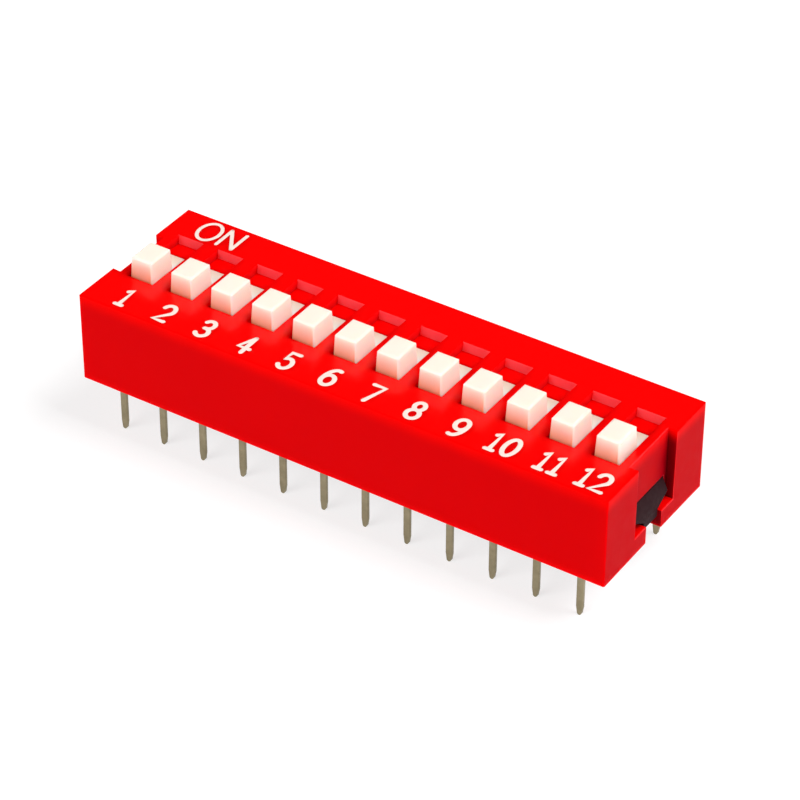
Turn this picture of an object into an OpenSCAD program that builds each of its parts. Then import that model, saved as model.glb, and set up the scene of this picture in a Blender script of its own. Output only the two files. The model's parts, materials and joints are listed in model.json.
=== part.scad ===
// Slide-type DIP switch for a printed circuit board.
// Sizes are in millimetres. The origin is the middle of the seating plane, +X runs along the row of
// switches, +Y points to the ON side and +Z points away from the board. Every switch is shown OFF.

/* [Row] */
// Number of switches in the row
positions = 12; // [2:1:12]
// Distance from one switch to the next
pitch = 2.54; // [2.3:0.02:3.2]
// Distance between the two rows of pins
row_spacing = 7.62; // [7.5:0.02:9]

/* [Cover] */
// Thickness of the top wall
top_wall = 1.1; // [1:0.05:1.5]
// Thickness of the front and rear walls
side_wall = 0.85; // [0.6:0.05:1.2]
// Thickness of the end walls behind their recesses
end_wall = 0.37; // [0.3:0.01:0.6]
// Distance from the centre line to the front rim of the openings
opening_front = 2; // [1.8:0.05:2.2]
// Depth of the shallow run that lies behind each opening
run_depth = 0.55; // [0.45:0.05:0.7]
// How far the rear wall of a run leans back
run_draft = 0.07; // [0.02:0.01:0.15]
// Radius of the upright outer edges
corner_radius = 0.1; // [0.05:0.05:0.4]
// Radius of the long and short edges of the top
top_edge_radius = 0.08; // [0.04:0.02:0.3]

/* [End recesses] */
// Depth of the recess in each end face
recess_depth = 0.5; // [0.4:0.05:0.7]
// Width of the recess
recess_width = 3.8; // [3.6:0.1:5]
// Height of the rim that is left below the recess
rim_height = 1.05; // [0.9:0.05:1.2]
// Width of the slot through that rim
rim_slot_width = 1.5; // [1.2:0.1:2]

/* [Sliders] */
// Travel of a slider from OFF to ON
travel = 1.45; // [1.2:0.05:1.6]
// Width of the stem and of the low tail behind it
tail_width = 1.48; // [1.3:0.02:1.6]
// Length of the tail behind the stem
tail_length = 1; // [0.8:0.05:1.2]
// How far the tail lies below the top of the cover
tail_drop = 0.15; // [0.1:0.01:0.2]
// Length of the stem that carries the knob
stem_length = 1.9; // [1.5:0.05:2]
// How far the sides of the knob lean in between its foot and its top
knob_draft = 0.08; // [0.04:0.01:0.15]
// Height of the knob above the cover
knob_height = 1.1; // [0.8:0.05:1.5]
// Radius of the edges round the top of the knob
knob_edge_radius = 0.18; // [0.1:0.02:0.3]
// Radius of the knob's upright edges at its foot
knob_corner_radius = 0.24; // [0.2:0.01:0.4]
// Thickness of the plate that slides under the top wall
plate_thickness = 0.5; // [0.4:0.05:0.7]
// How far the plate reaches past the sides of its opening
plate_lip = 0.1; // [0.05:0.01:0.15]
// How far the plate still covers the ends of its opening
plate_lap = 0.1; // [0.05:0.05:0.3]

/* [Bridging contacts] */
// Clear height between the terminal pads and the sliding plate
contact_height = 1.25; // [1.1:0.05:1.6]
// Thickness of the spring strip
strip_thickness = 0.12; // [0.08:0.01:0.2]
// Width of the spring strip
strip_width = 0.9; // [0.7:0.05:1.2]
// Length of the flat middle of the strip
strip_flat = 1.4; // [1.2:0.05:1.5]
// Middle radius of the bends that turn the fingers down
finger_bend = 0.4; // [0.25:0.05:0.45]
// Middle radius of the toes that wipe the pads
toe_radius = 0.3; // [0.2:0.02:0.35]
// Radius of the stake that holds the strip to its slider
stake_radius = 0.2; // [0.15:0.01:0.25]
// Height of the stake below the strip
stake_proud = 0.1; // [0.05:0.01:0.15]

/* [Terminals] */
// Thickness of the terminal sheet
sheet = 0.2; // [0.16:0.01:0.3]
// Inner radius of the bend from pad to pin
bend_radius = 0.15; // [0.1:0.01:0.25]
// Width of the pads and their shoulders
pad_width = 1; // [0.8:0.05:1.2]
// Width of the pins
pin_width = 0.4; // [0.3:0.02:0.6]
// How far the pins reach below the seating plane
pin_reach = 3.2; // [2.5:0.1:4]
// Length of the tapered tip
tip_length = 0.5; // [0.3:0.05:0.8]
// Width of the round end of the tip
tip_width = 0.24; // [0.1:0.02:0.28]
// Height of the shoulders above the seating plane
shoulder_height = 1.2; // [0.8:0.05:1.5]
// How far a front pad runs on past the toe of a slider that is ON
pad_margin = 0.3; // [0.2:0.05:0.4]
// Distance that an open toe keeps from its rear pad
break_gap = 0.7; // [0.5:0.05:0.9]

/* [Base] */
// Height of the base
base_height = 2.35; // [2.1:0.05:2.8]
// Width of the snap tab on each end
tab_width = 3.3; // [2.6:0.1:3.6]
// Height of the top of the tab
tab_top = 2.4; // [2.3:0.05:2.9]
// Height at which the sides of the tab turn inwards
tab_shoulder = 1.7; // [1.5:0.05:2]
// Height of the lowest edge of the tab
tab_foot = 0.7; // [0.5:0.05:0.95]
// How far the tab stands out of the recessed end wall
tab_proud = 0.3; // [0.2:0.02:0.4]
// Length of the drain channel under each tab
drain_length = 1; // [0.6:0.1:1.5]
// Radius of the upper corners of the drain channel
drain_radius = 0.3; // [0.1:0.05:0.4]

/* [Clearances] */
// Gap at each side of a slider in its opening
slide_gap = 0.07; // [0.05:0.01:0.1]
// Gap between a slider's plate and tail and the cover
run_gap = 0.05; // [0.03:0.01:0.08]
// Gap between the stem and the ends of its opening
stop_gap = 0.1; // [0.05:0.01:0.15]
// Gap between the base and the cover
fit_gap = 0.065; // [0.05:0.005:0.1]
// Gap between a terminal and its groove in the base
seat_gap = 0.02; // [0.01:0.005:0.04]
// Gap between a toe and the pads
touch_gap = 0.03; // [0.02:0.01:0.05]

/* [Hidden] */
$fn = 32;
// Overshoot of a cut past the face that it opens
past = 1;
// Small overlap of shapes that are joined
join = 0.01;

// Widths across the row
opening_width = tail_width + 2 * slide_gap;
plate_width = opening_width + 2 * plate_lip;
bay_width = plate_width + 2 * run_gap;

// Length, width and height of the whole body and of the space inside it
cavity_length = (positions - 1) * pitch + bay_width;
body_length = cavity_length + 2 * (end_wall + recess_depth);
base_width = row_spacing + sheet;
cavity_width = base_width + 2 * fit_gap;
body_width = cavity_width + 2 * side_wall;
recess_plane = body_length / 2 - recess_depth;
base_end = cavity_length / 2 - fit_gap;

// Levels, from the seating plane up
plate_bottom = base_height + contact_height;
plate_top = plate_bottom + plate_thickness;
ceiling = plate_top + run_gap;
body_height = ceiling + top_wall;
run_floor = body_height - run_depth;
tail_bottom = run_floor + run_gap;
tail_top = body_height - tail_drop;
knob_top = body_height + knob_height;

// Places along Y of a slider that is OFF, and of its opening
stem_front = stop_gap - opening_front;
stem_rear = stem_front + stem_length;
tail_rear = stem_rear + tail_length;
opening_rear = stem_rear + travel + stop_gap;
run_rear = tail_rear + travel + run_gap;
plate_front = -opening_front - plate_lap - travel;
plate_rear = opening_rear + plate_lap;

// Bridging contact: it stands half a travel either side of the centre line
contact_off = -travel / 2;
toe_offset = strip_flat / 2 + finger_bend + toe_radius;
bend_level = plate_bottom - strip_thickness / 2 - finger_bend;
toe_level = base_height + touch_gap + strip_thickness / 2 + toe_radius;

// Inner ends of the pads, as distances from the centre line
front_pad_end = toe_offset + contact_off - pad_margin;
rear_pad_end = toe_offset + contact_off + break_gap;

// Tongue of the snap tab in the rim's slot
tongue_width = rim_slot_width - 2 * fit_gap;

NUMBERS = [for (i = [1 : positions]) i];

// Centre of a switch along X
function place(i) = (i - (positions + 1) / 2) * pitch;

// Extrudes an outline drawn in Y and Z along X, evenly to both sides
module along_x(width) {
    rotate([90, 0, 90])
        linear_extrude(width, center = true)
            children();
}

// Extrudes an outline drawn in X and Z along Y, evenly to both sides
module along_y(width) {
    rotate([90, 0, 0])
        linear_extrude(width, center = true)
            children();
}

// Block between two corners
module block(low, high) {
    translate(low)
        cube(high - low);
}

// Rectangle on the middle of its lower edge, with round upper corners
module round_top(width, height, radius) {
    translate([-width / 2, 0])
        square([width, height - radius]);
    translate([radius - width / 2, 0])
        square([width - 2 * radius, height]);
    for (side = [-1, 1])
        translate([side * (width / 2 - radius), height - radius])
            circle(radius);
}

// Rectangle about the origin with four round corners
module round_plan(length, width, radius) {
    square([length - 2 * radius, width], center = true);
    square([length, width - 2 * radius], center = true);
    for (x = [-1, 1], y = [-1, 1])
        translate([x * (length / 2 - radius), y * (width / 2 - radius)])
            circle(radius);
}

// Block that stands on the XY plane, with round upright edges and a round top edge
module soft_block(length, width, height, upright_radius, edge_radius) {
    intersection() {
        linear_extrude(height)
            round_plan(length, width, upright_radius);
        along_y(width)
            round_top(length, height, edge_radius);
        along_x(length)
            round_top(width, height, edge_radius);
    }
}

// Outline with a straight foot below the axis, which narrows above it by the draft on each side up to
// round upper corners
module flared_outline(width, foot, height, draft, radius) {
    lean = atan2(draft, height);
    flat_half = width / 2 - draft - radius * (1 - sin(lean)) / cos(lean);
    side_x = flat_half + radius * cos(lean);
    side_z = height - radius * (1 - sin(lean));
    polygon([
        [-width / 2, -foot],
        [-width / 2, 0],
        [-side_x, side_z],
        [-flat_half, height],
        [flat_half, height],
        [side_x, side_z],
        [width / 2, 0],
        [width / 2, -foot]
    ]);
    for (side = [-1, 1])
        translate([side * flat_half, height - radius])
            circle(radius);
}

// Block with a straight foot below the XY plane and a part above it that narrows upwards, with round upright
// edges that narrow with it and a round top edge
module flared_block(length, width, foot, height, draft, upright_radius, edge_radius) {
    corner_x = length / 2 - upright_radius;
    corner_y = width / 2 - upright_radius;
    intersection() {
        along_y(width)
            flared_outline(length, foot, height, draft, edge_radius);
        along_x(length)
            flared_outline(width, foot, height, draft, edge_radius);
        union() {
            block([-length / 2, -corner_y, -foot], [length / 2, corner_y, height]);
            block([-corner_x, -width / 2, -foot], [corner_x, width / 2, height]);
            for (x = [-1, 1], y = [-1, 1])
                translate([x * corner_x, y * corner_y, 0])
                    rotate_extrude()
                        polygon([
                            [0, -foot],
                            [upright_radius, -foot],
                            [upright_radius, 0],
                            [upright_radius - draft, height],
                            [0, height]
                        ]);
        }
    }
}

// Outline of the snap tab in Y and Z, with its tongue down to the given foot
module tab_outline(grow, foot) {
    half = tab_width / 2 + grow;
    tongue = tongue_width / 2 + grow;
    waist = rim_height + fit_gap - grow;
    polygon([
        [-half, tab_top + grow],
        [-half, tab_shoulder - grow],
        [-tongue, waist],
        [-tongue, foot],
        [tongue, foot],
        [tongue, waist],
        [half, tab_shoulder - grow],
        [half, tab_top + grow]
    ]);
}

// Opening for one slider: a through slot, and the shallow run for the tail behind it
module opening() {
    half = opening_width / 2;
    block([-half, -opening_front, ceiling - join], [half, opening_rear, body_height + past]);
    along_x(opening_width)
        polygon([
            [-opening_front, run_floor],
            [run_rear, run_floor],
            [run_rear + run_draft * (1 + past / run_depth), body_height + past],
            [-opening_front, body_height + past]
        ]);
}

// Space inside the cover: one bay for each slider over a common seat for the base
module cavity() {
    block(
        [-cavity_length / 2, -cavity_width / 2, -past],
        [cavity_length / 2, cavity_width / 2, base_height + fit_gap]
    );
    for (i = NUMBERS)
        translate([place(i), 0, 0])
            block(
                [-bay_width / 2, -cavity_width / 2, base_height],
                [bay_width / 2, cavity_width / 2, ceiling]
            );
}

// Recess in the end face at +X, with the window for the snap tab and the slot in the rim
module end_recess() {
    block(
        [recess_plane, -recess_width / 2, rim_height],
        [recess_plane + recess_depth + past, recess_width / 2, body_height + past]
    );
    translate([cavity_length / 2 + past / 2, 0, 0])
        along_x(end_wall + recess_depth + 2 * past)
            tab_outline(fit_gap, -past);
}

// Red moulded cover
module cover() {
    color("red")
        difference() {
            soft_block(body_length, body_width, body_height, corner_radius, top_edge_radius);
            cavity();
            for (i = NUMBERS)
                translate([place(i), 0, 0])
                    opening();
            for (turn = [0, 180])
                rotate([0, 0, turn])
                    end_recess();
        }
}

// Side view of a groove at the rear of the base: the space outside the core that the terminal wraps
module groove_outline(pad_end, floor_level) {
    core_radius = bend_radius - seat_gap;
    core_side = row_spacing / 2 - sheet / 2 - seat_gap;
    core_top = base_height - sheet - seat_gap;
    start = pad_end - seat_gap;
    difference() {
        translate([start, floor_level])
            square([base_width / 2 - start + past, base_height - floor_level + past]);
        translate([core_side - core_radius, core_top - core_radius])
            circle(core_radius);
        translate([start - past, floor_level - past])
            square([core_side - core_radius - start + past, core_top - floor_level + past]);
        translate([start - past, floor_level - past])
            square([core_side - start + past, core_top - core_radius - floor_level + past]);
    }
}

// Groove at the rear of the base for one terminal
module groove(pad_end) {
    along_x(pin_width + 2 * seat_gap)
        groove_outline(pad_end, -past);
    along_x(pad_width + 2 * seat_gap)
        groove_outline(pad_end, shoulder_height - seat_gap);
}

// Snap tab on the end of the base at +X, with a lead-in slope on its upper half
module snap_tab() {
    tab_face = recess_plane + tab_proud;
    intersection() {
        translate([(base_end + tab_face) / 2, 0, 0])
            along_x(tab_face - base_end + 2 * join)
                tab_outline(0, tab_foot);
        along_y(tab_width + past)
            polygon([
                [base_end - join, 0],
                [tab_face, 0],
                [tab_face, tab_shoulder],
                [recess_plane, tab_top],
                [base_end - join, tab_top]
            ]);
    }
}

// Drain channel under the snap tab at +X
module drain() {
    translate([base_end - drain_length / 2 + past / 2, 0, -past])
        along_x(drain_length + past)
            round_top(tongue_width, tab_foot + past, drain_radius);
}

// Black moulded base
module base() {
    color([0.13, 0.12, 0.12])
        difference() {
            union() {
                block([-base_end, -base_width / 2, 0], [base_end, base_width / 2, base_height]);
                for (turn = [0, 180])
                    rotate([0, 0, turn])
                        snap_tab();
            }
            for (turn = [0, 180])
                rotate([0, 0, turn])
                    drain();
            for (i = NUMBERS)
                translate([place(i), 0, 0]) {
                    groove(rear_pad_end);
                    mirror([0, 1, 0])
                        groove(front_pad_end);
                }
        }
}

// White slider: knob, tail, stem and the plate that keeps it in the cover
module slider(i) {
    stem_middle = (stem_front + stem_rear) / 2;
    translate([place(i), 0, 0])
        color("ivory") {
            translate([0, stem_middle, tail_top])
                flared_block(
                    tail_width, stem_length, tail_top - plate_top + join, knob_top - tail_top,
                    knob_draft, knob_corner_radius, knob_edge_radius
                );
            block([-tail_width / 2, stem_middle, tail_bottom], [tail_width / 2, tail_rear, tail_top]);
            block([-plate_width / 2, plate_front, plate_bottom], [plate_width / 2, plate_rear, plate_top]);
            translate([0, contact_off, plate_bottom - strip_thickness - stake_proud])
                cylinder(h = strip_thickness + stake_proud + join, r = stake_radius);
        }
}

// Side view of one finger of the bridging contact, on the side of +Y
module finger_outline() {
    outer = strip_thickness / 2;
    translate([strip_flat / 2, bend_level])
        intersection() {
            difference() {
                circle(finger_bend + outer);
                circle(finger_bend - outer);
            }
            square(finger_bend + 2 * outer);
        }
    translate([strip_flat / 2 + finger_bend - outer, toe_level])
        square([strip_thickness, bend_level - toe_level]);
    translate([toe_offset, toe_level])
        intersection() {
            difference() {
                circle(toe_radius + outer);
                circle(toe_radius - outer);
            }
            translate([-toe_radius - 2 * outer, -toe_radius - 2 * outer])
                square([2 * toe_radius + 4 * outer, toe_radius + 2 * outer]);
        }
}

// Bridging contact: a bent spring strip that joins the two terminals when its slider is ON
module contact(i) {
    translate([place(i), contact_off, 0])
        color("goldenrod")
            difference() {
                along_x(strip_width) {
                    translate([-strip_flat / 2, plate_bottom - strip_thickness])
                        square([strip_flat, strip_thickness]);
                    finger_outline();
                    mirror([1, 0])
                        finger_outline();
                }
                translate([0, 0, plate_bottom - strip_thickness - past / 2])
                    cylinder(h = strip_thickness + past, r = stake_radius + seat_gap);
            }
}

// Side view of a terminal: pad, bend and pin, on the side of +Y
module terminal_side(pad_end) {
    inner = row_spacing / 2 - sheet / 2;
    bend_y = inner - bend_radius;
    bend_z = base_height - sheet - bend_radius;
    translate([pad_end, base_height - sheet])
        square([bend_y - pad_end, sheet]);
    translate([bend_y, bend_z])
        intersection() {
            difference() {
                circle(bend_radius + sheet);
                circle(bend_radius);
            }
            square(bend_radius + sheet);
        }
    translate([inner, -pin_reach])
        square([sheet, bend_z + pin_reach]);
}

// Front view of a terminal: wide pad and shoulders over a narrow pin with a tapered, round tip
module terminal_front_view() {
    half_pad = pad_width / 2;
    half_pin = pin_width / 2;
    tip_radius = tip_width / 2;
    taper_level = tip_length - pin_reach;
    round_level = tip_radius - pin_reach;
    polygon([
        [-half_pad, base_height + past],
        [-half_pad, shoulder_height],
        [-half_pin, shoulder_height],
        [-half_pin, taper_level],
        [-tip_radius, round_level],
        [tip_radius, round_level],
        [half_pin, taper_level],
        [half_pin, shoulder_height],
        [half_pad, shoulder_height],
        [half_pad, base_height + past]
    ]);
    translate([0, round_level])
        circle(tip_radius);
}

// Stamped and bent terminal on the side of +Y
module terminal(pad_end) {
    color([0.62, 0.58, 0.48])
        intersection() {
            along_x(pad_width)
                terminal_side(pad_end);
            along_y(body_width)
                terminal_front_view();
        }
}

// Terminal with the long pad, under the number of its switch
module front_terminal(i) {
    translate([place(i), 0, 0])
        mirror([0, 1, 0])
            terminal(front_pad_end);
}

// Terminal with the short pad, on the ON side
module rear_terminal(i) {
    translate([place(i), 0, 0])
        terminal(rear_pad_end);
}

cover();
base();
for (i = NUMBERS) {
    slider(i);
    contact(i);
    front_terminal(i);
    rear_terminal(i);
}
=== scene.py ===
# %% [markdown]
# This lesson dresses a twelve-way DIP switch: a red moulded cover, twelve ivory sliders, a black base
# that snaps in from below, and two rows of tinned pins. The solid pieces come from the CAD model, so
# the first step loads them as a fixed frame. Everything that follows only makes their surfaces look
# real, and each new piece rides on the body that carries it.

# %% Load the frame
import json
from math import cos, radians, sin

import bmesh
import bpy
from mathutils import Matrix, Vector


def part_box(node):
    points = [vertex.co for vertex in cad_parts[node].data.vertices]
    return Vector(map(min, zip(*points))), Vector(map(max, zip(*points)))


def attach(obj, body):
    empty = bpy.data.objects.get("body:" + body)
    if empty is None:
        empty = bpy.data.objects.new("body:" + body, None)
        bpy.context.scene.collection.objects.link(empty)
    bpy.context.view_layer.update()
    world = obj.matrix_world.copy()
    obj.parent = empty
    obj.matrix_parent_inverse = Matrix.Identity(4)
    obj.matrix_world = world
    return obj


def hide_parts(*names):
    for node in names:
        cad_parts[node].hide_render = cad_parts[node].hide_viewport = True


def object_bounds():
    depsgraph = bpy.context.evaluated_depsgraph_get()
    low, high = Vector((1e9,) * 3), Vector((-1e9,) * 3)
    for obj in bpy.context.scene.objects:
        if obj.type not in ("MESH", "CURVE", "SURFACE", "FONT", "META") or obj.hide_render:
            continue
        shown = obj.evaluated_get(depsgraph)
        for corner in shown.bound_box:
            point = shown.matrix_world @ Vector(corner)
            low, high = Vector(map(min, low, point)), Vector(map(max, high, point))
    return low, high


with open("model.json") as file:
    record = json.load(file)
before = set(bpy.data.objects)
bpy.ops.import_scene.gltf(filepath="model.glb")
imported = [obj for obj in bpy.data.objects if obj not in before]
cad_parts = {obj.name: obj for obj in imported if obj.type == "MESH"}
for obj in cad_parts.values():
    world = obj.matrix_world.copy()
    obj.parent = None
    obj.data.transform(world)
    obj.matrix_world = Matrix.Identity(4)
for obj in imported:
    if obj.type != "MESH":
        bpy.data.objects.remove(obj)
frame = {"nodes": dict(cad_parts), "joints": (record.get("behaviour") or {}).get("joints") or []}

cad_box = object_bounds()
MM = 0.001
POSITIONS = len(frame["joints"])
print("switches in the row:", POSITIONS)
print("size in mm:", [round(high / MM - low / MM, 2) for low, high in zip(*cad_box)])

# %% [markdown]
# The camera is a long lens from the front right, above the row. A long lens keeps the far end of the
# switch nearly as large as the near end, as in a catalogue picture. The view is given as an aim point,
# two angles, a distance and a small roll, because those are easier to adjust than a matrix.

# %% Camera
AIM = Vector((0.786, 0.123, 2.161)) * MM
AZIMUTH = radians(32.93)
ELEVATION = radians(36.41)
DISTANCE = 172.28 * MM
ROLL = radians(0.23)


def direction(azimuth, elevation):
    """Unit vector from the object towards a point of its surroundings. Azimuth 0 is the front."""
    return Vector((sin(azimuth) * cos(elevation), -cos(azimuth) * cos(elevation), sin(elevation)))


towards_camera = direction(AZIMUTH, ELEVATION)
camera = bpy.data.objects.new("camera", bpy.data.cameras.new("camera"))
camera.data.lens = 152.08
camera.data.sensor_width = 36
camera.data.clip_start = 10 * MM
turn = towards_camera.to_track_quat("Z", "Y").to_matrix().to_4x4() @ Matrix.Rotation(ROLL, 4, "Z")
camera.matrix_world = Matrix.Translation(AIM + DISTANCE * towards_camera) @ turn
bpy.context.collection.objects.link(camera)
bpy.context.scene.camera = camera
print("camera at, in mm:", [round(c / MM, 1) for c in camera.matrix_world.translation])

# %% [markdown]
# A saturated red is the hard colour in this picture. Blender's default view transform turns bright red
# towards pink, as film does, so the scene uses the Standard transform, which keeps pure red pure.
# Two very soft suns and a dim sky light the switch. The key light stands high over the right end, a
# little to the rear, and the fill light at the front, slightly to the left. The sky is pale at the
# horizon and dark overhead, so that the glossy top mirrors darkness and its red stays pure.

# %% Light
bpy.context.scene.view_settings.view_transform = "Standard"


def soft_sun(name, azimuth, elevation, strength, spread):
    """A sun as wide as a studio light, shining towards the object."""
    lamp = bpy.data.lights.new(name, "SUN")
    lamp.energy = strength
    lamp.angle = radians(spread)
    sun = bpy.data.objects.new(name, lamp)
    towards = direction(radians(azimuth), radians(elevation))
    sun.rotation_euler = towards.to_track_quat("Z", "Y").to_euler()
    bpy.context.collection.objects.link(sun)


soft_sun("key_light", azimuth=108, elevation=57, strength=3.45, spread=34)
soft_sun("fill_light", azimuth=-20, elevation=32, strength=1.95, spread=45)

sky = bpy.data.worlds.new("studio_sky")
sky.use_nodes = True
sky_nodes = sky.node_tree.nodes
sky_links = sky.node_tree.links
way = sky_nodes.new("ShaderNodeTexCoord")
split = sky_nodes.new("ShaderNodeSeparateXYZ")
fade = sky_nodes.new("ShaderNodeValToRGB")
low_sky, high_sky = fade.color_ramp.elements
low_sky.position, low_sky.color = 0.15, (0.12, 0.12, 0.12, 1)
high_sky.position, high_sky.color = 0.5, (0.03, 0.03, 0.03, 1)
sky_links.new(way.outputs["Generated"], split.inputs["Vector"])
sky_links.new(split.outputs["Z"], fade.inputs["Fac"])
sky_links.new(fade.outputs["Color"], sky_nodes["Background"].inputs["Color"])
bpy.context.scene.world = sky

# %% [markdown]
# Every finish below starts from the same shader and the same trick: noise on Object coordinates, which
# stay put in the frame's metres, shifts the colour or the roughness a little or feeds a bump. Two more
# factors come from values painted on a mesh and from the distance to the middle of the switch. A few
# small helpers keep the recipes short.

# %% Finish helpers
GRAIN_LOW, GRAIN_HIGH = 0.3, 0.7


def new_finish(name, colour, roughness):
    """A material with its shader set to a plain colour and roughness."""
    finish = bpy.data.materials.new(name)
    finish.use_nodes = True
    shader = finish.node_tree.nodes["Principled BSDF"]
    shader.inputs["Base Color"].default_value = (*colour, 1)
    shader.inputs["Roughness"].default_value = roughness
    return finish, shader


def grain(finish, size, detail=2, stretch=(1, 1, 1)):
    """A noise with spots of about the given size in metres. Returns its factor."""
    nodes, links = finish.node_tree.nodes, finish.node_tree.links
    place = nodes.new("ShaderNodeTexCoord")
    mapping = nodes.new("ShaderNodeMapping")
    mapping.inputs["Scale"].default_value = stretch
    noise = nodes.new("ShaderNodeTexNoise")
    noise.inputs["Scale"].default_value = 1 / size
    noise.inputs["Detail"].default_value = detail
    links.new(place.outputs["Object"], mapping.inputs["Vector"])
    links.new(mapping.outputs["Vector"], noise.inputs["Vector"])
    return noise.outputs["Fac"]


def ranged(finish, factor, low, high):
    """Spreads a grain's factor, which seldom leaves its low and high, over another range of numbers."""
    nodes, links = finish.node_tree.nodes, finish.node_tree.links
    spread = nodes.new("ShaderNodeMapRange")
    spread.inputs["From Min"].default_value = GRAIN_LOW
    spread.inputs["From Max"].default_value = GRAIN_HIGH
    spread.inputs["To Min"].default_value = low
    spread.inputs["To Max"].default_value = high
    links.new(factor, spread.inputs["Value"])
    return spread.outputs["Result"]


def blended(finish, factor, first, second):
    """Mixes two colours, each a tuple or another node's output, by a factor."""
    nodes, links = finish.node_tree.nodes, finish.node_tree.links
    mix = nodes.new("ShaderNodeMix")
    mix.data_type = "RGBA"
    links.new(factor, mix.inputs["Factor"])
    for socket, colour in ((mix.inputs[6], first), (mix.inputs[7], second)):
        if isinstance(colour, tuple):
            socket.default_value = (*colour, 1)
        else:
            links.new(colour, socket)
    return mix.outputs[2]


def pimple(finish, shader, factor, height):
    """Turns a factor into a bump of the given height in metres."""
    nodes, links = finish.node_tree.nodes, finish.node_tree.links
    bump = nodes.new("ShaderNodeBump")
    bump.inputs["Distance"].default_value = height
    links.new(factor, bump.inputs["Height"])
    links.new(bump.outputs["Normal"], shader.inputs["Normal"])


def painted(finish, name):
    """The value that a mesh carries on its faces or their corners under that name."""
    attribute = finish.node_tree.nodes.new("ShaderNodeAttribute")
    attribute.attribute_name = name
    return attribute.outputs["Fac"]


def from_middle(finish, axis, start, end):
    """A factor that climbs from 0 to 1 between two distances from the origin along an axis."""
    nodes, links = finish.node_tree.nodes, finish.node_tree.links
    place = nodes.new("ShaderNodeTexCoord")
    split = nodes.new("ShaderNodeSeparateXYZ")
    distance = nodes.new("ShaderNodeMath")
    distance.operation = "ABSOLUTE"
    climb = nodes.new("ShaderNodeMapRange")
    climb.interpolation_type = "SMOOTHSTEP"
    climb.inputs["From Min"].default_value = start
    climb.inputs["From Max"].default_value = end
    links.new(place.outputs["Object"], split.inputs["Vector"])
    links.new(split.outputs[axis], distance.inputs[0])
    links.new(distance.outputs["Value"], climb.inputs["Value"])
    return climb.outputs["Result"]


def product(finish, *factors):
    """Factors multiplied with each other."""
    nodes, links = finish.node_tree.nodes, finish.node_tree.links
    result = factors[0]
    for factor in factors[1:]:
        times = nodes.new("ShaderNodeMath")
        times.operation = "MULTIPLY"
        links.new(result, times.inputs[0])
        links.new(factor, times.inputs[1])
        result = times.outputs["Value"]
    return result


# %% [markdown]
# The floor is a sheet of white acrylic on a light table. The lamp below it is a little emission in the
# finish, which keeps the shadow pale. It lies at the tips of the pins, because that is what the switch
# stands on when it isn't in a board.

# %% Floor
acrylic, acrylic_shader = new_finish("white_acrylic", (0.3, 0.3, 0.3), roughness=0.8)
acrylic_tone = blended(acrylic, grain(acrylic, size=2 * MM), (0.29, 0.29, 0.29), (0.31, 0.31, 0.31))
acrylic.node_tree.links.new(acrylic_tone, acrylic_shader.inputs["Base Color"])
acrylic_shader.inputs["Emission Color"].default_value = (1, 1, 1, 1)
acrylic_shader.inputs["Emission Strength"].default_value = 0.75
FLOOR_HALF = 2000 * MM
floor_level = cad_box[0].z
floor_mesh = bpy.data.meshes.new("floor")
floor_signs = [(-1, -1), (1, -1), (1, 1), (-1, 1)]
floor_corners = [(x * FLOOR_HALF, y * FLOOR_HALF, floor_level) for x, y in floor_signs]
floor_mesh.from_pydata(floor_corners, [], [(0, 1, 2, 3)])
floor_mesh.materials.append(acrylic)
floor = bpy.data.objects.new("floor", floor_mesh)
bpy.context.collection.objects.link(floor)
print("floor level in mm:", round(floor_level / MM, 2))

# %% [markdown]
# The CAD solids have knife-sharp edges where two faces meet. Moulded plastic never does: the tool that
# cuts the mould leaves a small radius, and that radius is what catches the light as a thin bright line.
# So the visible pieces are copies of the CAD meshes with their triangles merged into whole faces and
# their sharp outer edges rounded. The work is done in millimetres, since the rounding is only a few
# hundredths of one, and the new faces are marked so that a finish can tell an edge from a flat.

# %% Rounded copies of CAD pieces
SHARP = radians(35)
SAME_PLANE = radians(1)
MERGE_MM = 0.0005
ROUNDING_FACES = 3


def rounded_mesh(node, radius_mm, shortest_mm):
    """A mesh like a CAD node's with its sharp outer edges rounded. The rounding's faces have edge = 1."""
    bm = bmesh.new()
    bm.from_mesh(frame["nodes"][node].data)
    edge = bm.faces.layers.float.new("edge")
    bm.transform(Matrix.Scale(1 / MM, 4))
    bmesh.ops.remove_doubles(bm, verts=bm.verts, dist=MERGE_MM)
    bmesh.ops.dissolve_limit(bm, angle_limit=SAME_PLANE, verts=bm.verts, edges=bm.edges)
    outer = [e for e in bm.edges if e.is_manifold and e.is_convex and e.calc_face_angle() > SHARP]
    outer = [e for e in outer if e.calc_length() > shortest_mm]
    rounding = bmesh.ops.bevel(
        bm, geom=outer, offset=radius_mm, offset_type="OFFSET", segments=ROUNDING_FACES, profile=0.5,
        affect="EDGES", clamp_overlap=False,
    )
    for face in rounding["faces"]:
        face[edge] = 1
    for face in bm.faces:
        face.smooth = True
    for e in bm.edges:
        e.smooth = not (e.is_manifold and e.calc_face_angle() > SHARP)
    bm.transform(Matrix.Scale(MM, 4))
    mesh = bpy.data.meshes.new(node + "_rounded")
    bm.to_mesh(mesh)
    bm.free()
    return mesh


def plain_piece(maker, name):
    """Turns what a maker's modifiers give into a plain mesh piece, and removes the maker."""
    depsgraph = bpy.context.evaluated_depsgraph_get()
    mesh = bpy.data.meshes.new_from_object(
        maker.evaluated_get(depsgraph), preserve_all_data_layers=True, depsgraph=depsgraph
    )
    bpy.data.objects.remove(maker)
    piece = bpy.data.objects.new(name, mesh)
    bpy.context.collection.objects.link(piece)
    print(name, "has", len(mesh.polygons), "faces")
    return piece


def new_maker(name, mesh):
    """An object that carries a mesh while modifiers work on it."""
    maker = bpy.data.objects.new(name, mesh)
    bpy.context.collection.objects.link(maker)
    return maker


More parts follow.
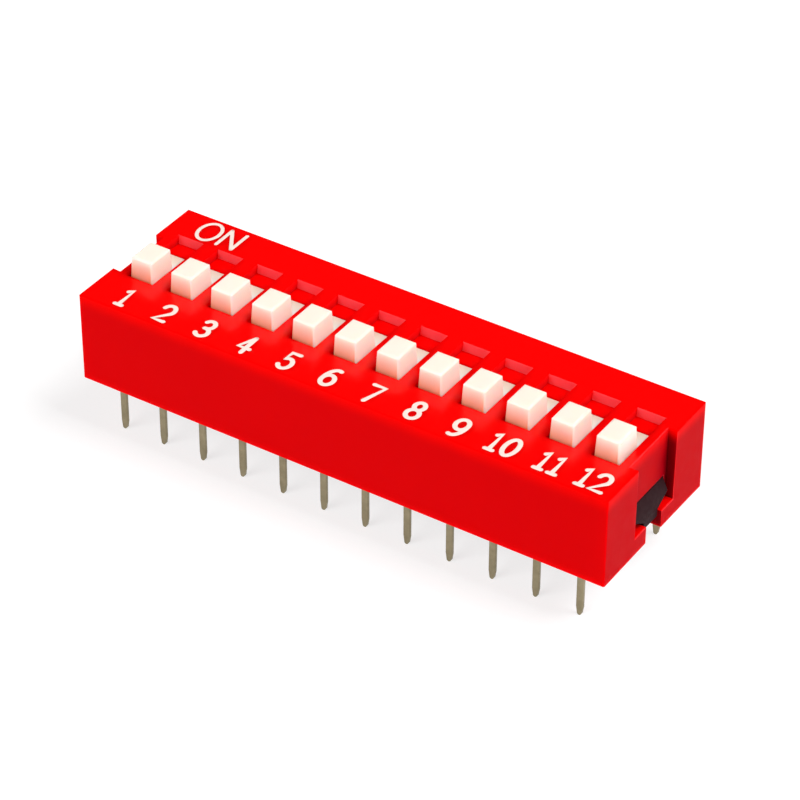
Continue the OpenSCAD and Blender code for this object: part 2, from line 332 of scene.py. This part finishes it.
def paint(mesh, name, domain, values):
    """Stores a value for each face or each face corner of a mesh, under a name that a finish can read."""
    mesh.attributes.new(name, "FLOAT", domain).data.foreach_set("value", values)


def flat_faced(maker):
    """Keeps the large faces flat in the light, so that only the rounding shades from one to the next."""
    weighted = maker.modifiers.new("flat_faces", "WEIGHTED_NORMAL")
    weighted.keep_sharp = True


# %% [markdown]
# The cover is injection moulded in a signal red. Its top comes off a polished face of the mould and is
# glossy, while the flanks are dull. Four values painted on the mesh tell the finish where it is. Polish
# is on the flat faces that look straight up. The painted highlight makes faces paler where light would
# catch them. The painted shade is a darker tone that stands in for shade on the flanks, the ends and the
# side walls of the end hollows, and the corner value is painted shade that gathers only along the sides
# of an end hollow's floor. Both shades fade in below the top edge, so the top runs softly into the
# flanks. Red light travels far in this plastic, and subsurface scattering softens the small steps.

# %% Red finish
RED = (0.83, 0.0, 0.0)
DEEP_RED = (0.78, 0.0, 0.0)
HIGHLIGHT_RED = (1.0, 0.075, 0.09)
SHADE_RED = (0.24, 0.0, 0.004)
red, red_shader = new_finish("red_moulded_plastic", RED, roughness=0.4)
red_links = red.node_tree.links
red_tone = blended(red, grain(red, size=3 * MM), DEEP_RED, RED)
# Painted highlight: faces that carry the painted value turn towards a pale red, as if light caught them.
red_highlighted = blended(red, painted(red, "painted_highlight"), red_tone, HIGHLIGHT_RED)

cover_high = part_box("cover")[1]
cover_top = cover_high.z
SHADE_FADE = 0.9 * MM
CORNER_START, CORNER_FADE = 0.5 * MM, 1.9 * MM
CORNER_WIDTH = 1.5 * MM
HOLLOW_HALF = 1.9 * MM
# Painted shade: marked faces turn dark red below the top edge, and the floor of each end hollow grows
# darker towards its side walls and its foot.
soft_shade = product(red, painted(red, "painted_shade"), from_middle(red, "Z", cover_top, cover_top - SHADE_FADE))
corner_shade = product(
    red,
    painted(red, "corner"),
    from_middle(red, "Z", cover_top - CORNER_START, cover_top - CORNER_FADE),
    from_middle(red, "Y", HOLLOW_HALF - CORNER_WIDTH, HOLLOW_HALF),
)
red_shaded = blended(red, soft_shade, red_highlighted, SHADE_RED)
red_corner_shaded = blended(red, corner_shade, red_shaded, SHADE_RED)
red_links.new(red_corner_shaded, red_shader.inputs["Base Color"])
red_satin = ranged(red, grain(red, size=0.6 * MM), low=0.36, high=0.48)
red_links.new(red_satin, red_shader.inputs["Roughness"])
red_links.new(painted(red, "polish"), red_shader.inputs["Coat Weight"])
red_shader.inputs["Specular IOR Level"].default_value = 0.01
red_shader.inputs["Coat Roughness"].default_value = 0.22
red_shader.inputs["Subsurface Weight"].default_value = 1
red_shader.inputs["Subsurface Radius"].default_value = (1, 0.1, 0.1)
red_shader.inputs["Subsurface Scale"].default_value = 0.9 * MM
pimple(red, red_shader, grain(red, size=0.08 * MM), height=0.0006 * MM)
print("finish:", red.name)

# %% [markdown]
# Where the values go is read from each face's place and the way it looks. The painted highlight is full
# on the small rear walls of the runs, partial on the edges next to the right end, and a trace on the
# ends.
# The painted shade is full on the side walls of the end hollows, next to the black tab, about half on the
# ends, and less on the other flanks.

# %% Painted highlight and painted shade of the cover
FACING, LEANING, TILTED = 0.9, 0.25, 0.1
RUN_DEPTH = 0.55 * MM
HOLLOW_DEPTH = 0.5 * MM
NEARLY = 0.05 * MM
END_STRIP = 1.1 * MM
# Painted highlight on the runs' rear walls, the edges at the right end and the ends.
RUN_HIGHLIGHT, EDGE_HIGHLIGHT, END_HIGHLIGHT = 1, 0.3, 0.05
# Painted shade on the flanks, the ends, the hollows' side walls and the hollows' corners.
FLANK_SHADE, END_SHADE, CORNER_SHADE = 0.29, 0.58, 0.85


def in_run(face):
    """Whether a face lies between the top of the cover and the floor of the runs."""
    return 0 < cover_top - face.center.z < RUN_DEPTH


def bloom_of(face, on_edge):
    """How much painted highlight a face of the cover carries: paler plastic where light would catch it.
    """
    if in_run(face) and face.normal.y < -FACING and face.center.y > 0:
        return RUN_HIGHLIGHT
    if on_edge and face.normal.x > LEANING and cover_high.x - face.center.x < END_STRIP:
        return EDGE_HIGHLIGHT
    return END_HIGHLIGHT if abs(face.normal.x) > FACING else 0


def soot_of(face):
    """How much painted shade a face of the cover carries: a darker red in place of shade."""
    from_end = cover_high.x - abs(face.center.x)
    in_hollow = from_end < HOLLOW_DEPTH and abs(face.center.y) < HOLLOW_HALF + NEARLY
    if in_hollow and abs(face.normal.y) > FACING:
        return 1
    if abs(face.normal.z) > TILTED or in_run(face):
        return 0
    return END_SHADE if abs(face.normal.x) > FACING else FLANK_SHADE


def corner_of(face):
    """How much painted shade gathers along the sides of a face: some where it is the floor of an end
    hollow.
    """
    from_end = cover_high.x - abs(face.center.x)
    hollow_floor = abs(from_end - HOLLOW_DEPTH) < NEARLY and abs(face.normal.x) > FACING
    return CORNER_SHADE if hollow_floor else 0


# %% [markdown]
# The cover itself is a rounded copy of the CAD solid that carries the four values. It stands for the
# CAD cover, which is hidden, and rides on the housing.

# %% Red cover
TOP_POLISH = 0.5
LEVEL = 0.9999
cover_mesh = rounded_mesh("cover", radius_mm=0.05, shortest_mm=0.3)
on_edge = [mark.value > 0.5 for mark in cover_mesh.attributes["edge"].data]
faces = cover_mesh.polygons
paint(cover_mesh, "polish", "FACE", [TOP_POLISH if face.normal.z > LEVEL else 0 for face in faces])
paint(cover_mesh, "painted_highlight", "FACE", [bloom_of(face, on_edge[face.index]) for face in faces])
paint(cover_mesh, "painted_shade", "FACE", [soot_of(face) for face in faces])
paint(cover_mesh, "corner", "FACE", [corner_of(face) for face in faces])
cover_maker = new_maker("cover_maker", cover_mesh)
flat_faced(cover_maker)
red_cover = plain_piece(cover_maker, "red_cover")
red_cover.data.materials.append(red)
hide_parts("cover")
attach(red_cover, "housing")

# %% [markdown]
# The black base shows only as a snap tab at each end and on the underside. It is a filled plastic with a
# dull, slightly rough face, so its finish is nearly black with a faint, broken sheen.

# %% Black base
black, black_shader = new_finish("black_filled_plastic", (0.02, 0.014, 0.016), roughness=0.5)
black_links = black.node_tree.links
black_tone = blended(black, grain(black, size=0.5 * MM), (0.020, 0.005, 0.007), (0.030, 0.010, 0.012))
black_links.new(black_tone, black_shader.inputs["Base Color"])
black_sheen = ranged(black, grain(black, size=0.2 * MM, detail=4), low=0.42, high=0.62)
black_links.new(black_sheen, black_shader.inputs["Roughness"])
black_shader.inputs["Specular IOR Level"].default_value = 0.05
pimple(black, black_shader, grain(black, size=0.06 * MM, detail=3), height=0.002 * MM)
base_maker = new_maker("base_maker", rounded_mesh("base", radius_mm=0.04, shortest_mm=0.3))
flat_faced(base_maker)
black_base = plain_piece(base_maker, "black_base")
black_base.data.materials.append(black)
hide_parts("base")
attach(black_base, "housing")

# %% [markdown]
# Sliders and pins repeat along the row at one pitch. A Geometry Nodes tree says that once: it lays points
# on a line, sets the piece on each, and makes the result real. A row of pins is one run of the tree with
# twelve points. A slider moves by itself, so each gets a run of its own with one point at its place.

# %% Row tree


def new_tree(name, inputs):
    """A Geometry Nodes tree with geometry in and out, and inputs given as name and socket type."""
    tree = bpy.data.node_groups.new(name, "GeometryNodeTree")
    tree.interface.new_socket("Geometry", in_out="INPUT", socket_type="NodeSocketGeometry")
    tree.interface.new_socket("Geometry", in_out="OUTPUT", socket_type="NodeSocketGeometry")
    for label, kind in inputs:
        tree.interface.new_socket(label, in_out="INPUT", socket_type=kind)
    return tree, tree.nodes.new("NodeGroupInput"), tree.nodes.new("NodeGroupOutput")


def run_tree(maker, tree, values):
    """Puts a tree on a maker, with its inputs set by their identifiers."""
    modifier = maker.modifiers.new(tree.name, "NODES")
    modifier.node_group = tree
    for item in tree.interface.items_tree:
        if item.in_out == "INPUT" and item.name in values:
            modifier[item.identifier] = values[item.name]


row_tree, row_in, row_out = new_tree("row_of_pieces", [
    ("Count", "NodeSocketInt"),
    ("Pitch", "NodeSocketFloat"),
    ("First place", "NodeSocketFloat"),
    ("Finish", "NodeSocketMaterial"),
])
row_nodes, row_links = row_tree.nodes, row_tree.links
step = row_nodes.new("ShaderNodeCombineXYZ")
start = row_nodes.new("ShaderNodeCombineXYZ")
places = row_nodes.new("GeometryNodeMeshLine")
setting = row_nodes.new("GeometryNodeInstanceOnPoints")
real = row_nodes.new("GeometryNodeRealizeInstances")
finished = row_nodes.new("GeometryNodeSetMaterial")
row_links.new(row_in.outputs["Pitch"], step.inputs["X"])
row_links.new(row_in.outputs["First place"], start.inputs["X"])
row_links.new(row_in.outputs["Count"], places.inputs["Count"])
row_links.new(start.outputs["Vector"], places.inputs["Start Location"])
row_links.new(step.outputs["Vector"], places.inputs["Offset"])
row_links.new(places.outputs["Mesh"], setting.inputs["Points"])
row_links.new(row_in.outputs["Geometry"], setting.inputs["Instance"])
row_links.new(setting.outputs["Instances"], real.inputs["Geometry"])
row_links.new(real.outputs["Geometry"], finished.inputs["Geometry"])
row_links.new(row_in.outputs["Finish"], finished.inputs["Material"])
row_links.new(finished.outputs["Geometry"], row_out.inputs["Geometry"])


def middle(node):
    """The middle of a CAD node along the row."""
    low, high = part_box(node)
    return (low.x + high.x) / 2


first_place = middle("slider_1")
pitch = middle("slider_2") - first_place
print("pitch in mm:", round(pitch / MM, 3))


def place_of(number):
    """Where the switch with that number stands along the row."""
    return first_place + (number - 1) * pitch


def centred_mesh(node, radius_mm, shortest_mm):
    """A rounded copy of a node, moved to the middle of the row, ready to be set along it."""
    mesh = rounded_mesh(node, radius_mm, shortest_mm)
    mesh.transform(Matrix.Translation((-middle(node), 0, 0)))
    return mesh


# %% [markdown]
# The sliders are moulded in an ivory nylon. It is translucent, so light that enters the top of a knob
# comes out again at its sides. Subsurface scattering does that. The red light that the cover throws up
# onto the knob is painted: a painted value climbs down the sides of the knob, much less on the right
# one, which faces the key light, and along the tail to its rear, and the top carries an even trace. The
# finish turns warmer and redder with it. A faint mottle and the grain of the mould complete it.

# %% Ivory finish
ivory, ivory_shader = new_finish("ivory_nylon", (0.86, 0.77, 0.69), roughness=0.42)
ivory_links = ivory.node_tree.links
# Painted light: the knob's sides and tail turn towards this red where the cover's red light would fall.
RED_LIGHT_COLOUR = (0.93, 0.36, 0.19)
ivory_tone = blended(ivory, grain(ivory, size=0.7 * MM), (0.86, 0.87, 0.79), (0.90, 0.91, 0.83))
ivory_red_lit = blended(ivory, painted(ivory, "painted_red_light"), ivory_tone, RED_LIGHT_COLOUR)
ivory_links.new(ivory_red_lit, ivory_shader.inputs["Base Color"])
ivory_shader.inputs["Subsurface Weight"].default_value = 0.85
ivory_shader.inputs["Subsurface Radius"].default_value = (1, 1, 0.8)
ivory_shader.inputs["Subsurface Scale"].default_value = 0.4 * MM
ivory_satin = ranged(ivory, grain(ivory, size=0.25 * MM, detail=3), low=0.36, high=0.5)
ivory_links.new(ivory_satin, ivory_shader.inputs["Roughness"])
pimple(ivory, ivory_shader, grain(ivory, size=0.1 * MM), height=0.001 * MM)
print("finish:", ivory.name)

# %% [markdown]
# One slider is rounded and painted in the middle of the row and then set at each of the twelve places.
# The painted value is stored for each corner of a face, so that it changes smoothly from top to foot.

# %% Ivory sliders
slider_mesh = centred_mesh("slider_1", radius_mm=0.04, shortest_mm=0.2)
knob_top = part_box("slider_1")[1].z
TAIL_FRONT, TAIL_REAR = -0.05 * MM, 0.95 * MM
TOP_RED_LIGHT, RIGHT_RED_LIGHT, TAIL_RED_LIGHT = 0.2, 0.2, 0.5
SIDE_LEAN = 0.15
RIGHTWARD = 0.5


def glow_of(face, point):
    """How much painted red light falls on a point of a slider's face."""
    if face.normal.z < SIDE_LEAN:
        below_top = min(1, (knob_top - point.z) / (knob_top - cover_top))
        return below_top * (RIGHT_RED_LIGHT if face.normal.x > RIGHTWARD else 1)
    if point.z < cover_top:
        along_tail = (point.y - TAIL_FRONT) / (TAIL_REAR - TAIL_FRONT)
        return TAIL_RED_LIGHT * max(0, min(1, along_tail))
    return TOP_RED_LIGHT


# Painted red light, stored for each face corner, so that it grows from the top of each side to its foot.
paint(slider_mesh, "painted_red_light", "CORNER", [
    glow_of(face, slider_mesh.vertices[corner].co)
    for face in slider_mesh.polygons for corner in face.vertices
])
for number in range(1, POSITIONS + 1):
    slider_maker = new_maker("slider_maker", slider_mesh.copy())
    run_tree(slider_maker, row_tree, {
        "Count": 1, "Pitch": pitch, "First place": place_of(number), "Finish": ivory,
    })
    flat_faced(slider_maker)
    ivory_slider = plain_piece(slider_maker, f"ivory_slider_{number}")
    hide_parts(f"slider_{number}")
    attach(ivory_slider, f"actuator_{number}")

# %% [markdown]
# The pins are stamped from brass strip and tinned. Tin that has lain in a drawer is a dull brownish
# grey with darker blotches, and stamping leaves fine lines along the pin. The noise is stretched along
# Z for that.

# %% Tinned pins
tin, tin_shader = new_finish("aged_tin", (0.28, 0.24, 0.15), roughness=0.35)
tin_links = tin.node_tree.links
tin_shader.inputs["Metallic"].default_value = 1
tin_tone = blended(tin, grain(tin, size=0.5 * MM, detail=4), (0.20, 0.17, 0.10), (0.36, 0.31, 0.20))
tin_links.new(tin_tone, tin_shader.inputs["Base Color"])
tin_sheen = ranged(tin, grain(tin, size=0.2 * MM, detail=3), low=0.3, high=0.5)
tin_links.new(tin_sheen, tin_shader.inputs["Roughness"])
pimple(tin, tin_shader, grain(tin, size=0.05 * MM, stretch=(1, 1, 0.08)), height=0.002 * MM)
for row in ("front", "rear"):
    pin_mesh = centred_mesh(row + "_terminal_1", radius_mm=0.05, shortest_mm=0.1)
    pin_maker = new_maker("pin_maker", pin_mesh)
    run_tree(pin_maker, row_tree, {
        "Count": POSITIONS, "Pitch": pitch, "First place": first_place, "Finish": tin,
    })
    flat_faced(pin_maker)
    tinned_pins = plain_piece(pin_maker, f"tinned_{row}_pins")
    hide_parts(*[f"{row}_terminal_{number}" for number in range(1, POSITIONS + 1)])
    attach(tinned_pins, "housing")

# %% [markdown]
# The bridging contacts sit inside, under the sliders. Nothing shows them while the switch is whole, so
# their CAD shape is enough, with a bright spring brass on it.

# %% Brass contacts
brass, brass_shader = new_finish("spring_brass", (0.78, 0.55, 0.22), roughness=0.3)
brass_links = brass.node_tree.links
brass_shader.inputs["Metallic"].default_value = 1
brass_tone = blended(brass, grain(brass, size=0.3 * MM), (0.70, 0.48, 0.18), (0.83, 0.61, 0.27))
brass_links.new(brass_tone, brass_shader.inputs["Base Color"])
brass_sheen = ranged(brass, grain(brass, size=0.1 * MM, detail=3), low=0.22, high=0.38)
brass_links.new(brass_sheen, brass_shader.inputs["Roughness"])
for number in range(1, POSITIONS + 1):
    frame["nodes"][f"contact_{number}"].data.materials[0] = brass
print("contacts in", brass.name)

# %% [markdown]
# The numbers and the word ON are printed in cream ink. A font would be quick, but these figures have
# round stroke ends and a foot on the 1. So each figure is written as the path of a pen: straight
# stretches and parts of ellipses in a box that is 1 wide and 1 high. Geometry Nodes then draws the ink
# along the paths, which keeps every stroke equally wide and lets one number change them all.

# %% Pen paths
ARC_STEP = 12
SAME_POINT = 1e-6


def arc(x, y, across, up, start, end):
    """Points along part of an ellipse, from one angle to another in degrees."""
    steps = max(2, round(abs(end - start) / ARC_STEP))
    angles = [radians(start + (end - start) * i / steps) for i in range(steps + 1)]
    return [(x + across * cos(a), y + up * sin(a)) for a in angles]


def half_turned(paths):
    """The same paths turned upside down in their box."""
    return [[(1 - x, 1 - y) for x, y in path] for path in paths]


SIX = [
    arc(0.5, 0.31, 0.5, 0.31, 180, 540),
    arc(0.68, 0.36, 0.68, 0.64, 180, 75),
]
FIGURES = {
    "0": [arc(0.5, 0.5, 0.5, 0.5, 0, 360)],
    "1": [[(0.1, 0.86), (0.55, 1), (0.55, 0)], [(0.1, 0), (1, 0)]],
    "2": [arc(0.5, 0.7, 0.48, 0.3, 165, -30) + [(0, 0), (1, 0)]],
    "3": [
        arc(0.46, 0.76, 0.42, 0.24, 155, -90) + [(0.36, 0.52)],
        arc(0.46, 0.26, 0.5, 0.26, 90, -150),
    ],
    "4": [[(0.66, 1), (0, 0.3), (1, 0.3)], [(0.66, 1), (0.66, 0)]],
    "5": [[(0.94, 1), (0.22, 1), (0.14, 0.56)] + arc(0.47, 0.32, 0.5, 0.32, 125, -150)],
    "6": SIX,
    "7": [[(0, 1), (1, 1), (0.36, 0)]],
    "8": [arc(0.5, 0.77, 0.4, 0.23, -90, 270), arc(0.5, 0.27, 0.5, 0.27, 90, 450)],
    "9": half_turned(SIX),
    "O": [arc(0.5, 0.5, 0.5, 0.5, 0, 360)],
    "N": [[(0, 0), (0, 1)], [(0, 1), (1, 0)], [(1, 0), (1, 1)]],
}
print("figures:", "".join(FIGURES))


def pen_lines(words):
    """A mesh of edges for placed figures, each given as its name, left, bottom, width and height."""
    points, edges = [], []
    for figure, left, bottom, width, height in words:
        for path in FIGURES[figure]:
            closed = (Vector(path[0]) - Vector(path[-1])).length < SAME_POINT
            first = len(points)
            kept = path[:-1] if closed else path
            points += [(left + width * x, bottom + height * y, 0) for x, y in kept]
            edges += [(first + i, first + i + 1) for i in range(len(kept) - 1)]
            if closed:
                edges.append((first + len(kept) - 1, first))
    mesh = bpy.data.meshes.new("pen_lines")
    mesh.from_pydata(points, edges, [])
    return mesh


# %% [markdown]
# The ink tree turns the pen's edges into curves, sweeps a round nib along them and sets a ball on each
# open end. Then it presses the result nearly flat and lifts it to the top of the cover.

# %% Ink tree
ink_tree, ink_in, ink_out = new_tree("ink_along_pen", [
    ("Half stroke", "NodeSocketFloat"),
    ("Flatness", "NodeSocketFloat"),
    ("Level", "NodeSocketFloat"),
    ("Finish", "NodeSocketMaterial"),
])
ink_nodes, ink_links = ink_tree.nodes, ink_tree.links
pen = ink_nodes.new("GeometryNodeMeshToCurve")
nib = ink_nodes.new("GeometryNodeCurvePrimitiveCircle")
nib.inputs["Resolution"].default_value = 12
stroke = ink_nodes.new("GeometryNodeCurveToMesh")
stroke.inputs["Fill Caps"].default_value = True
ends = ink_nodes.new("GeometryNodeCurveEndpointSelection")
blob = ink_nodes.new("GeometryNodeMeshUVSphere")
blob.inputs["Segments"].default_value = 16
blob.inputs["Rings"].default_value = 8
blobs = ink_nodes.new("GeometryNodeInstanceOnPoints")
both = ink_nodes.new("GeometryNodeJoinGeometry")
ink_real = ink_nodes.new("GeometryNodeRealizeInstances")
squeeze = ink_nodes.new("ShaderNodeCombineXYZ")
squeeze.inputs["X"].default_value = 1
squeeze.inputs["Y"].default_value = 1
lift = ink_nodes.new("ShaderNodeCombineXYZ")
press = ink_nodes.new("GeometryNodeTransform")
smooth = ink_nodes.new("GeometryNodeSetShadeSmooth")
ink_finished = ink_nodes.new("GeometryNodeSetMaterial")
ink_links.new(ink_in.outputs["Geometry"], pen.inputs["Mesh"])
ink_links.new(ink_in.outputs["Half stroke"], nib.inputs["Radius"])
ink_links.new(ink_in.outputs["Half stroke"], blob.inputs["Radius"])
ink_links.new(pen.outputs["Curve"], stroke.inputs["Curve"])
ink_links.new(nib.outputs["Curve"], stroke.inputs["Profile Curve"])
ink_links.new(pen.outputs["Curve"], blobs.inputs["Points"])
ink_links.new(ends.outputs["Selection"], blobs.inputs["Selection"])
ink_links.new(blob.outputs["Mesh"], blobs.inputs["Instance"])
ink_links.new(stroke.outputs["Mesh"], both.inputs["Geometry"])
ink_links.new(blobs.outputs["Instances"], both.inputs["Geometry"])
ink_links.new(both.outputs["Geometry"], ink_real.inputs["Geometry"])
ink_links.new(ink_in.outputs["Flatness"], squeeze.inputs["Z"])
ink_links.new(ink_in.outputs["Level"], lift.inputs["Z"])
ink_links.new(ink_real.outputs["Geometry"], press.inputs["Geometry"])
ink_links.new(squeeze.outputs["Vector"], press.inputs["Scale"])
ink_links.new(lift.outputs["Vector"], press.inputs["Translation"])
ink_links.new(press.outputs["Geometry"], smooth.inputs["Geometry"])
ink_links.new(smooth.outputs["Geometry"], ink_finished.inputs["Geometry"])
ink_links.new(ink_in.outputs["Finish"], ink_finished.inputs["Material"])
ink_links.new(ink_finished.outputs["Geometry"], ink_out.inputs["Geometry"])

# %% [markdown]
# Each number stands in front of its knob. A single figure is centred a little to the right of it, and
# a pair ends halfway to the next knob. The word ON stands behind the first two knobs.

# %% Cream print
cream, cream_shader = new_finish("cream_ink", (0.84, 0.69, 0.62), roughness=0.6)
cream_tone = blended(
    cream, grain(cream, size=0.15 * MM, detail=4), (0.79, 0.62, 0.55), (0.88, 0.75, 0.69)
)
cream.node_tree.links.new(cream_tone, cream_shader.inputs["Base Color"])
INK_HEIGHT = 0.012 * MM
FIGURE_STROKE = 0.26 * MM
FIGURE_HEIGHT = 1.4 * MM
FIGURE_BOTTOM = -4.4 * MM
FIGURE_WIDTHS = {"1": 0.45 * MM}
USUAL_WIDTH = 0.67 * MM
FIGURE_GAP = 0.07 * MM
SINGLE_MIDDLE = 0.38 * MM
PAIR_RIGHT = 1.27 * MM


def number_figures(number):
    """The figures of one switch's number with their places on the cover."""
    figures = str(number)
    widths = [FIGURE_WIDTHS.get(figure, USUAL_WIDTH) for figure in figures]
    total = sum(widths) + (len(widths) - 1) * (FIGURE_STROKE + FIGURE_GAP)
    if len(figures) == 1:
        left = place_of(number) + SINGLE_MIDDLE - total / 2
    else:
        left = place_of(number) + PAIR_RIGHT - FIGURE_STROKE / 2 - total
    placed = []
    for figure, width in zip(figures, widths):
        placed.append((figure, left, FIGURE_BOTTOM, width, FIGURE_HEIGHT))
        left += width + FIGURE_STROKE + FIGURE_GAP
    return placed


def printed(name, words, half_stroke):
    """Prints placed figures on the top of the cover."""
    maker = new_maker("pen", pen_lines(words))
    run_tree(maker, ink_tree, {
        "Half stroke": half_stroke,
        "Flatness": INK_HEIGHT / half_stroke,
        "Level": cover_top,
        "Finish": cream,
    })
    piece = plain_piece(maker, name)
    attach(piece, "housing")


numbers = [figure for number in range(1, POSITIONS + 1) for figure in number_figures(number)]
printed("printed_numbers", numbers, FIGURE_STROKE / 2)

ON_STROKE = 0.21 * MM
ON_FIGURES = [
    ("O", -14.15 * MM, 2.81 * MM, 1.2 * MM, 1.66 * MM),
    ("N", -12.6 * MM, 2.89 * MM, 0.95 * MM, 1.5 * MM),
]
printed("printed_on", ON_FIGURES, ON_STROKE / 2)
